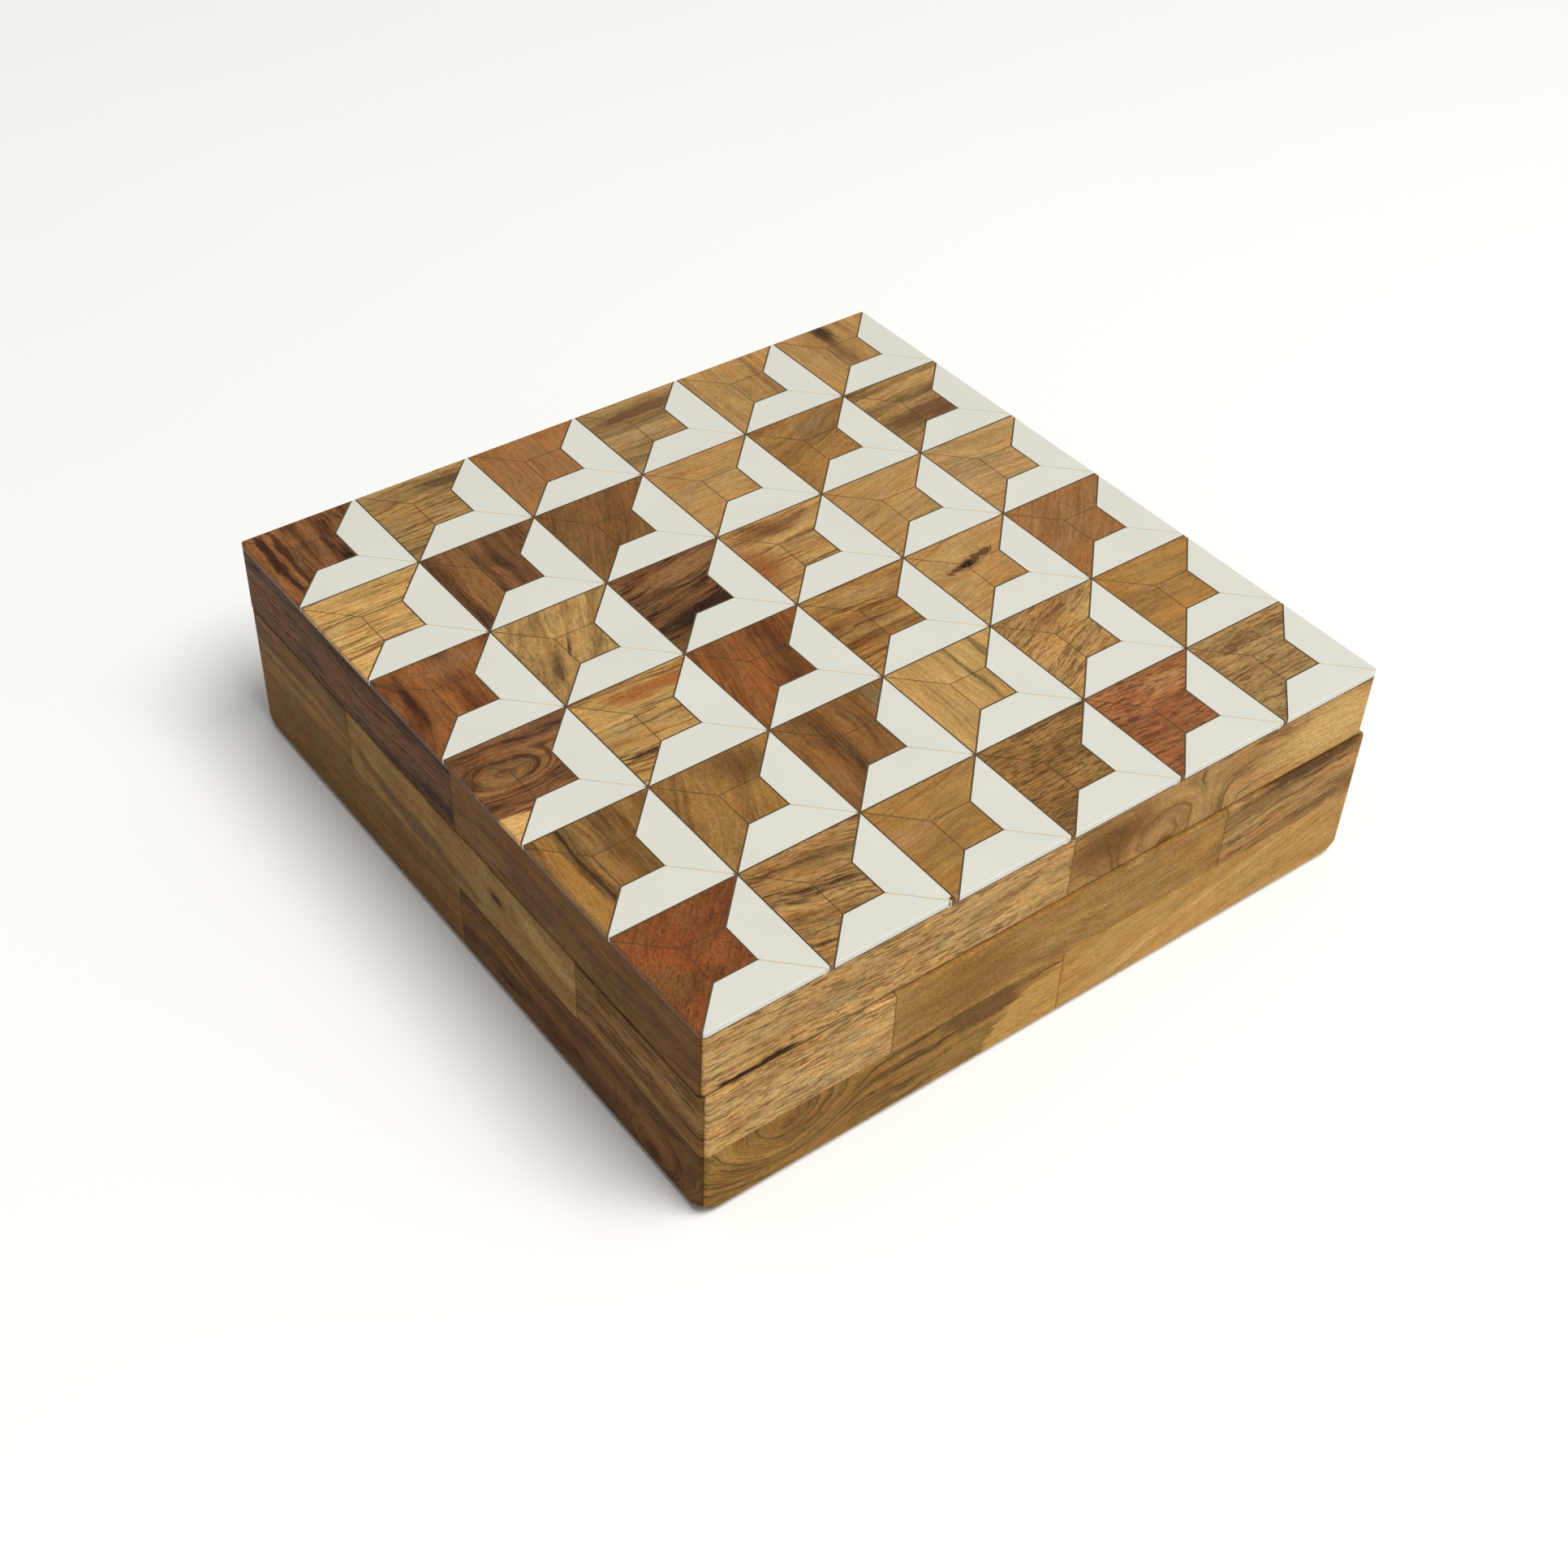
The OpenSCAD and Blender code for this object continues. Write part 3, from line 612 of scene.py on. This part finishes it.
# Staves of each side, from left to right as seen from outside. Stains and knots are in mm from the
# stave's middle.
STAVES = {
    "lid": {
        "front": [Wood("sand", "flecked", -1, 1.26, stains=[Stain(-34, -9.2, 20, 2.1, "231713", 1.0),
                                                            Stain(-10, -9.8, 24, 0.8, "4a3222", 0.8)]),
                  Wood("tan", "ringed", 0, 0.98, knot=Knot(-19, -8, 2.0, 9.5, 0.5, 1.4),
                       stains=[Stain(-36, 1, 24, 12, "6b451c", 0.85, 0.9),
                               Stain(38, 0, 32, 14, "d2a968", 0.9, 0.8)])],
        "right": [Wood("caramel", "plain"), Wood("chestnut", "banded")],
        "back": [Wood("brown", "banded"), Wood("tan", "flecked")],
        "left": [Wood("walnut", "streaked", 0, 0.82),
                 Wood("brown", "plain", 0, 0.74, stains=[Stain(-37, -4, 16, 5, "a3774a", 0.4, 0.5)])],
    },
    "upper": {
        "front": [Wood("sand", "flecked", 0, 1.42),
                  Wood("gold", "cloudy", 0, 0.79, stains=[Stain(-28, 0, 32, 14, "8a602a", 0.7, 0.9)]),
                  Wood("tan", "streaked", 3, 1.0, stains=[Stain(5, 8.0, 26, 1.8, "4a3524", 0.8)])],
        "right": [Wood("olive", "cloudy"), Wood("tan", "flecked"), Wood("caramel", "plain")],
        "back": [Wood("chestnut", "banded"), Wood("caramel", "cloudy"), Wood("walnut", "banded")],
        "left": [Wood("olive", "banded", 0, 0.82),
                 Wood("gold", "cloudy", -4, 0.59, knot=Knot(18, 1, 1.3, 4.0, 0.8, 2.2),
                      stains=[Stain(-20, -4, 40, 3.0, "6f5230", 0.7),
                              Stain(38, 3, 16, 4.0, "dcb068", 0.7, 0.4)]),
                 Wood("olive", "streaked", 0, 0.96)],
    },
    "lower": {
        "front": [Wood("moss", "ringed", 0, 1.16, knot=Knot(-29, 6.0, 2.0, 9.0, 0.35, 1.4),
                       stains=[Stain(50, -12, 24, 20, "ac8446", 0.95, 0.1),
                               Stain(27, 7, 14, 5, "583d20", 0.8, 0.4)]),
                  Wood("gold", "plain", 12, 0.96, stains=[Stain(-20, -3, 30, 2.5, "cfa468", 0.6, 0.9),
                                                          Stain(15, 5, 34, 2.5, "cfa468", 0.5, 0.9)])],
        "right": [Wood("chestnut", "plain"), Wood("olive", "banded")],
        "back": [Wood("tan", "plain"), Wood("brown", "cloudy", knot=Knot(25, -3, 2.0))],
        "left": [Wood("caramel", "plain", 0, 0.52),
                 Wood("brown", "banded", 0, 0.84, knot=Knot(31, -6, 2.2, 6.0, 0.6, 1.8),
                      stains=[Stain(-28, -5, 7, 1.8, "401c0c", 0.8, 0.8),
                              Stain(22, 3, 26, 5.0, "99693a", 0.6, 0.9)])],
    },
}


def lid_grid():
    """(centre of the lid, width of a cell), from the filler and from the six centre squares in a row.

    A centre square and the lines beside it are a third as wide as its cell.
    """
    low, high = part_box("joint_filler")
    inner_low, inner_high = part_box("wood_centre")
    cell = (inner_high.x - inner_low.x + GRID_LINES) / (CELLS_A_SIDE - 1 + 1 / 3)
    return (low + high) / 2, cell


def random_shift(chance):
    """Where a block of wood lies in the noise, in mm."""
    return Vector([chance.uniform(-BLOCK_SPREAD, BLOCK_SPREAD) for _ in range(3)])


def wood_inlay(material):
    """A cell's three wooden pieces come from one block, each a little lighter or darker by chance."""
    centre, cell = lid_grid()
    chance = random.Random(11)
    shifts = {(i, j): random_shift(chance) for i in range(CELLS_A_SIDE) for j in range(CELLS_A_SIDE)}
    half_count = CELLS_A_SIDE / 2
    for kind in ("left", "back", "centre"):
        bm = prepared("wood_" + kind, INLAY_ROUNDING)
        for part in islands(bm):
            middle = sum((v.co for v in part), Vector()) / len(part)
            i, j = (math.floor((middle[k] - centre[k]) / cell + half_count) for k in (0, 1))
            from_centre = [(k + 0.5 - half_count) * cell for k in (i, j)]
            cell_middle = centre + Vector((*from_centre, 0.0))
            to_face = Matrix.Scale(1 / MM, 4) @ Matrix.Translation(-cell_middle)
            CELLS[i, j].paint(bm, part, to_face, chance.uniform(0.95, 1.05), shifts[i, j])
        finished("inlay_wood_" + kind, bm, material, "wood_" + kind, "lid")


def white_inlay(material):
    for kind in ("front", "right"):
        bm = softened("white_" + kind, INLAY_ROUNDING)
        finished("inlay_white_" + kind, bm, material, "white_" + kind, "lid")


def staves(material):
    """Each stave is a block of its own, a little lighter or darker by chance."""
    chance = random.Random(5)
    quarter = math.radians(90)
    for row, sides in STAVES.items():
        for side, woods in sides.items():
            # Seen from outside, the face's x runs to the right and its y runs up
            turn = Matrix.Rotation(-quarter * SIDES.index(side), 4, "Z")
            upright = Matrix.Rotation(-quarter, 4, "X")
            for k, wood in enumerate(woods, 1):
                node = f"{row}_stave_{side}_{k}"
                low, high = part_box(node)
                to_face = Matrix.Scale(1 / MM, 4) @ upright @ turn @ Matrix.Translation(-(low + high) / 2)
                shift = random_shift(chance)
                bm = prepared(node, STAVE_ROUNDING)
                # The front and back staves are long in x, and those of the other sides in y
                half_length = (high - low)[SIDES.index(side) % 2] / 2 / MM
                wood.paint(bm, bm.verts, to_face, chance.uniform(0.97, 1.03), shift, half_length)
                body = "lid" if row == "lid" else "body"
                finished(node + "_wood", bm, material, node, body)


def felt_sheet(name, node, material):
    """A felt laid flat, with rounded edges."""
    bm = softened(node, FELT_ROUNDING, segments=3)
    piece = finished(name, bm, material, node, "body")


def carried_over(material, names):
    """CAD nodes that keep their own shape get a finished material."""
    for name in names:
        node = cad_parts[name]
        node.data.materials.clear()
        node.data.materials.append(material)


# ---- Stage, light and camera ----

def floor():
    """Wide, plain and pale."""
    s = Shader("floor")
    shade = s.noise(s.place(), 0.004, 2.0)
    material = s.surface(s.blend(shade, rgb("f4f4f3"), rgb("f7f7f6")), roughness=0.7)
    bm = bmesh.new()
    bmesh.ops.create_grid(bm, x_segments=2, y_segments=2, size=FLOOR_REACH)
    mesh = bpy.data.meshes.new("floor")
    bm.to_mesh(mesh)
    bm.free()
    mesh.materials.append(material)
    plane = bpy.data.objects.new("floor", mesh)
    bpy.context.scene.collection.objects.link(plane)


def world_light():
    """Even white light from all round."""
    world = bpy.data.worlds.new("studio")
    world.use_nodes = True
    background = world.node_tree.nodes["Background"]
    background.inputs[0].default_value = (1.0, 1.0, 1.0, 1.0)
    background.inputs[1].default_value = WORLD_STRENGTH
    bpy.context.scene.world = world


def key_light():
    """A large, slightly warm lamp above the front, aimed at the middle of the box."""
    data = bpy.data.lights.new("key", "AREA")
    data.size = 1.6
    data.energy = 78.0
    data.color = (1.0, 0.985, 0.96)
    lamp = bpy.data.objects.new("key", data)
    lamp.location = (0.4, -1.15, 2.55)
    aim = Vector((0.0, 0.0, 0.03)) - lamp.location
    lamp.rotation_mode = "QUATERNION"
    lamp.rotation_quaternion = aim.to_track_quat("-Z", "Y")
    bpy.context.scene.collection.objects.link(lamp)


def camera():
    """Over the front left corner, 0.54 m from the lid's middle: 43 degrees down, rolled by 2.5 degrees."""
    data = bpy.data.cameras.new("camera")
    data.lens = 50.9
    data.sensor_width = 36.0
    eye = bpy.data.objects.new("camera", data)
    eye.location = (-0.2698, -0.3339, 0.3940)
    bearing, dip, roll = (math.radians(a) for a in (38.672, 42.551, 2.501))
    ahead = Vector((math.sin(bearing) * math.cos(dip), math.cos(bearing) * math.cos(dip), -math.sin(dip)))
    eye.rotation_mode = "QUATERNION"
    eye.rotation_quaternion = ahead.to_track_quat("-Z", "Y") @ Quaternion((0, 0, 1), roll)
    bpy.context.scene.collection.objects.link(eye)
    bpy.context.scene.camera = eye


bpy.context.scene.view_settings.view_transform = "Standard"
camera()
world_light()
key_light()
floor()

wood_inlay(hardwood("inlay_wood", LID_SHINE))
white_inlay(white_resin())
staves(hardwood("stave_wood", SIDE_SHINE))
felt_material = felt()
felt_sheet("floor_felt", "floor_lining", felt_material)
felt_sheet("base_felt_pad", "base_felt", felt_material)
carried_over(filler(), ["joint_filler"])
carried_over(core_wood(), [f"{part}_{side}" for part in ("body_wall", "lid_rail") for side in SIDES]
             + ["lid_panel", "base_panel"])
HINGE_PARTS = ("body_leaf", "lid_leaf", "pin")
carried_over(brass("hinge_brass", "c9a35a"),
             [f"hinge_{part}_{side}" for part in HINGE_PARTS for side in ("left", "right")])
carried_over(brass("screw_brass", "d9b56a"), ["body_screws", "lid_screws"])
